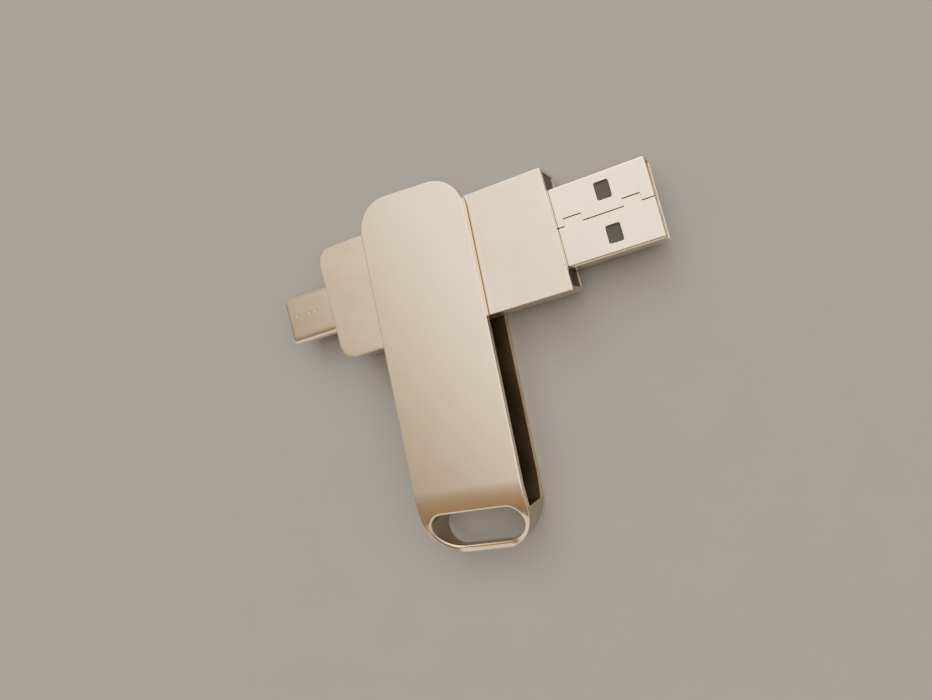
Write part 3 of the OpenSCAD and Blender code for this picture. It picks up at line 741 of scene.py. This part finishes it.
def usb_a_piece():
    """A sheet drawn flat, with x along it and s round it, and then folded into the shell."""
    low, high = box_mm("usb_a_shell")
    back, tip = low.x, high.x
    half_y, half_z, mid = high.y, (high.z - low.z) / 2, (high.z + low.z) / 2
    sheet, corner = 0.3, 0.55
    flat, side, quarter = half_y - corner, 2 * (half_z - corner), corner * math.pi / 2
    around = 4 * flat + 2 * side + 4 * quarter
    gap, joggle_gap = 0.24, 0.05
    marks = np.cumsum([0, flat, quarter, side, quarter, 2 * flat, quarter, side, quarter, flat + 2])

    def place(x, s, depth):
        """Points of the sheet, s round it from the top's middle, depth below its outer face."""
        y, z = np.zeros(len(x)), np.zeros(len(x))
        starts = [
            ((0, half_z), (1, 0)), ((flat, half_z - corner), 90), ((half_y, half_z - corner), (0, -1)),
            ((flat, corner - half_z), 0), ((flat, -half_z), (-1, 0)), ((-flat, corner - half_z), -90),
            ((-half_y, corner - half_z), (0, 1)), ((-flat, half_z - corner), 180),
            ((-flat, half_z), (1, 0)),
        ]
        for i, (start, way) in enumerate(starts):
            here = (s >= marks[i]) & (s <= marks[i + 1]) if i else s <= marks[1]
            t = s[here] - marks[i]
            d = depth[here]
            if isinstance(way, tuple):
                y[here] = start[0] + way[0] * t + way[1] * d
                z[here] = start[1] + way[1] * t - way[0] * d
            else:
                turn = np.radians(way) - t / corner
                y[here] = start[0] + (corner - d) * np.cos(turn)
                z[here] = start[1] + (corner - d) * np.sin(turn)
        return np.column_stack((x, y, mid + z))

    path = [(tip, 0.0)]
    for at, side_step in JOGGLES:
        path += [(at, path[-1][1]), (at, side_step)]
    path = np.array(path + [(back, 0.0)])
    shift = (inset(path, 0.5, closed=False) - path) * (joggle_gap, gap)
    first, last = path - shift, path + shift + (0, around)
    outline = chain(first, last[::-1])
    windows = []
    bottom = marks[4] + flat
    far = WINDOW_OFF + WINDOW_WIDE
    for s0 in (WINDOW_OFF, around - far, bottom - far, bottom + WINDOW_OFF):
        corners = (WINDOW_BACK, s0), (WINDOW_FRONT, s0 + WINDOW_WIDE)
        windows.append(rounded(*corners, WINDOW_CORNER, 5)[::-1])
    lines = []
    for i in BENDS:
        folds = np.linspace(marks[i], marks[i + 1], FOLD_STEPS)
        lines += [np.array([(back - 1, s), (tip + 1, s)]) for s in folds]
    lip, press, hem, inner_edge = 0.24, 0.10, 0.05, 0.03
    tip_wear, press_wear = 0.45, 0.3
    rings = [inset(outline, d) for d in steps_of(hem, 3)]
    rings += [inset(w, d) for w in windows for d in steps_of(press, 4) + [press_wear]]
    for d in steps_of(lip) + [tip_wear]:
        lines.append(np.array([(tip - d, -1), (tip - d, around + 2)]))
    points, triangles = triangulate([outline] + windows, lines, rings)
    x, s = points[:, 0], points[:, 1]
    to_hem = distance_to(points, outline)
    to_press = np.min([distance_to(points, w) for w in windows], axis=0)
    fall = np.maximum(drop(to_hem, hem), drop(to_press, press))
    fall = np.maximum(fall, drop(tip - x, lip))
    inner = sheet - drop(np.minimum(np.minimum(to_hem, to_press), tip - x), inner_edge)
    at_bend = np.zeros(len(s))
    for i in BENDS:
        centre = (marks[i] + marks[i + 1]) / 2
        at_bend = np.maximum(at_bend, np.clip(1 - np.abs(s - centre) / (quarter / 2), 0, 1))
    near_window = 0.6 * fade(to_press, press_wear)
    wear = np.maximum(fade(tip - x, tip_wear), np.maximum(0.7 * at_bend, near_window))
    outer_skin, inner_skin = place(x, s, fall), place(x, s, inner)
    solid = Solid()
    solid.add(outer_skin, triangles[:, ::-1], wear)
    solid.add(inner_skin, triangles, 0)
    solid.walls(border(triangles), outer_skin, inner_skin, wear)
    solid.piece("usb_a_body", "drive", [plug_metal], ["usb_a_shell"])


# ---- Type-C plug's drawn shell -------------------------------------------

DIMPLES = ((-25.2, 0.42), (-22.8, 0.40), (-21.6, 0.38))
DIMPLE_DEPTH, DIMPLE_WIDE = 0.011, 0.24
RIDGE_HIGH, RIDGE_OFF, RIDGE_WIDE = 0.004, 0.46, 0.14


def dimpled(x, y):
    """How far the small plug's upper face is pressed in by its three weld dimples."""
    total = 0.0
    for at_x, at_y in DIMPLES:
        d = math.hypot(x - at_x, y - at_y)
        total += DIMPLE_DEPTH * math.exp(-(d / DIMPLE_WIDE) ** 2)
        total -= RIDGE_HIGH * math.exp(-((d - RIDGE_OFF) / RIDGE_WIDE) ** 2)
    return total


def usb_c_piece():
    """A profile along the plug, swept round its flat-sided ring."""
    low, high = box_mm("usb_c_shell")
    tip, back = low.x, high.x
    half_y, half_z, mid = high.y, (high.z - low.z) / 2, (high.z + low.z) / 2
    sheet, nose, lip, tip_wear = 0.3, 0.16, 0.08, 0.5
    flat = half_y - half_z
    face = sorted(set(np.round(np.concatenate((
        np.linspace(-flat, flat, 13), np.linspace(-0.5, 1.3, 19))), 4)))
    stations = sorted(set(np.round(np.concatenate((
        np.linspace(tip + nose, back, 26), np.linspace(-25.9, -20.9, 51))), 4)))
    profile = [(x, 0.0) for x in reversed(stations)]
    profile += [
        (tip + nose * (1 - math.sin(a)), nose * (1 - math.cos(a)))
        for a in np.linspace(0, math.pi / 2, 7)[1:]
    ]
    profile += [
        (tip + lip * (1 - math.cos(a)), sheet - lip * (1 - math.sin(a)))
        for a in np.linspace(0, math.pi / 2, 4)
    ]
    profile.append((back, sheet))
    ring = [(y, 0, 1) for y in face]
    ring += [(flat, a, 0) for a in np.linspace(90, -90, 19)[1:-1]]
    ring += [(y, 0, -1) for y in reversed(face)]
    ring += [(-flat, a, 0) for a in np.linspace(-90, -270, 19)[1:-1]]
    points, wear = [], []
    for x, depth in profile:
        for y, a, way in ring:
            r = half_z - depth
            if way:
                z = way * r
                if way > 0 and depth == 0:
                    z -= dimpled(x, y)
                points.append((x, y, mid + z))
            else:
                t = math.radians(a)
                points.append((x, y + r * math.cos(t), mid + r * math.sin(t)))
            wear.append(float(fade(x - tip, tip_wear)) if depth < sheet else 0)
    count, rows = len(ring), len(profile)
    faces = []
    for i in range(rows):
        for j in range(count):
            k = (j + 1) % count
            a, b = i * count, ((i + 1) % rows) * count
            faces.append((a + j, a + k, b + k, b + j))
    solid = Solid()
    solid.add(points, faces, wear)
    solid.piece("usb_c_body", "drive", [plug_metal], ["usb_c_shell"])


# ---- Camera, floor and light ---------------------------------------------

def camera():
    place = Vector((44.87, -19.65, 112.0)) * MM
    aim = Vector((-0.08, -12.47, 0.0)) * MM
    heading = math.radians(16.13)
    forward = (aim - place).normalized()
    right = forward.cross(Vector((math.sin(heading), math.cos(heading), 0))).normalized()
    up = right.cross(forward)
    data = bpy.data.cameras.new("camera")
    data.lens = 29.08
    data.sensor_width = 36
    data.clip_start = 0.005
    data.clip_end = 20
    data.dof.use_dof = False
    cam = bpy.data.objects.new("camera", data)
    basis = Matrix((right, up, -forward)).transposed()
    cam.matrix_world = Matrix.Translation(place) @ basis.to_4x4()
    bpy.context.scene.collection.objects.link(cam)
    bpy.context.scene.camera = cam


def floor():
    """A round floor that sweeps up into a low plain wall all round."""
    reach, sweep, top, sides = 0.75, 0.30, 0.55, 96
    profile = [(reach + sweep * math.sin(a), sweep * (1 - math.cos(a)))
               for a in np.linspace(0, math.pi / 2, 17)] + [(reach + sweep, top)]
    turns = [2 * math.pi * i / sides for i in range(sides)]
    verts = [(r * math.cos(a), r * math.sin(a), z) for r, z in profile for a in turns]
    faces = [tuple(range(sides))]
    for row in range(len(profile) - 1):
        for i in range(sides):
            j = (i + 1) % sides
            faces.append((row * sides + i, (row + 1) * sides + i,
                          (row + 1) * sides + j, row * sides + j))
    mesh = bpy.data.meshes.new("floor")
    mesh.from_pydata(verts, [], faces)
    mesh.shade_smooth()
    obj = bpy.data.objects.new("floor", mesh)
    bpy.context.scene.collection.objects.link(obj)
    m, tree, p = shader("floor", specular=0.3)
    grain = noise(tree, 0.12, 4, 0.6)
    where = tree.nodes.new("ShaderNodeTexCoord")
    parts = tree.nodes.new("ShaderNodeSeparateXYZ")
    link(tree, where.outputs["Object"], parts.inputs[0])
    raised = spread(tree, parts.outputs["Z"], 0.0, 0.15, 0, 1)
    ground = tint(tree, grain, (0.20, 0.215, 0.24), (0.215, 0.23, 0.255))
    link(tree, tint(tree, raised, ground, (0.74, 0.78, 0.84)), p.inputs["Base Color"])
    p.inputs["Roughness"].default_value = 0.7
    mesh.materials.append(m)


def ramp(tree, value, stops):
    n = tree.nodes.new("ShaderNodeValToRGB")
    n.color_ramp.interpolation = "EASE"
    while len(n.color_ramp.elements) < len(stops):
        n.color_ramp.elements.new(0.5)
    for element, (at, colour) in zip(n.color_ramp.elements, stops):
        element.position = at
        element.color = (*colour, 1)
    link(tree, value, n.inputs[0])
    return n.outputs[0]


def sky():
    """A soft room: a broad bright ceiling, duller walls, and a warm dark side past the nose."""
    world = bpy.data.worlds.new("sky")
    bpy.context.scene.world = world
    world.use_nodes = True
    tree = world.node_tree
    back = tree.nodes["Background"]
    where = tree.nodes.new("ShaderNodeTexCoord")

    def facing(direction):
        n = tree.nodes.new("ShaderNodeVectorMath")
        n.operation = "DOT_PRODUCT"
        link(tree, where.outputs["Generated"], n.inputs[0])
        n.inputs[1].default_value = Vector(direction).normalized()
        return n.outputs["Value"]

    overhead = ramp(tree, facing((0.44, 0.34, 0.83)), [
        (0.0, (0.13, 0.11, 0.08)), (0.38, (0.24, 0.20, 0.145)), (0.50, (0.40, 0.335, 0.245)),
        (0.58, (0.95, 0.78, 0.57)), (0.69, (3.2, 2.6, 1.92)), (1.0, (4.6, 3.7, 2.75)),
    ])
    past_nose = spread(tree, facing((0, -1, 0)), 0.12, 0.62, 0, 1)
    raised = spread(tree, facing((0, 0, 1)), 0.50, 0.70, 0, 1)
    amount = math_node(tree, "MULTIPLY", past_nose, raised)
    warm = ramp(tree, facing((0, -1, 0)), [
        (0.1, (0.58, 0.375, 0.22)), (0.45, (0.41, 0.25, 0.14)), (0.85, (0.10, 0.075, 0.055)),
    ])
    link(tree, tint(tree, amount, overhead, warm), back.inputs["Color"])
    back.inputs["Strength"].default_value = 1.0


def key_light():
    data = bpy.data.lights.new("key", "AREA")
    data.shape = "RECTANGLE"
    data.size = 0.5
    data.size_y = 0.4
    data.energy = 2.4
    data.color = (1.0, 0.86, 0.67)
    obj = bpy.data.objects.new("key", data)
    obj.location = (0.0, 0.55, 0.50)
    obj.rotation_euler = (-Vector(obj.location)).to_track_quat("-Z", "Y").to_euler()
    bpy.context.scene.collection.objects.link(obj)


camera()
dress_cad_nodes()
cover_piece()
case_piece()
usb_a_piece()
usb_c_piece()
floor()
sky()
key_light()

bpy.context.view_layer.update()
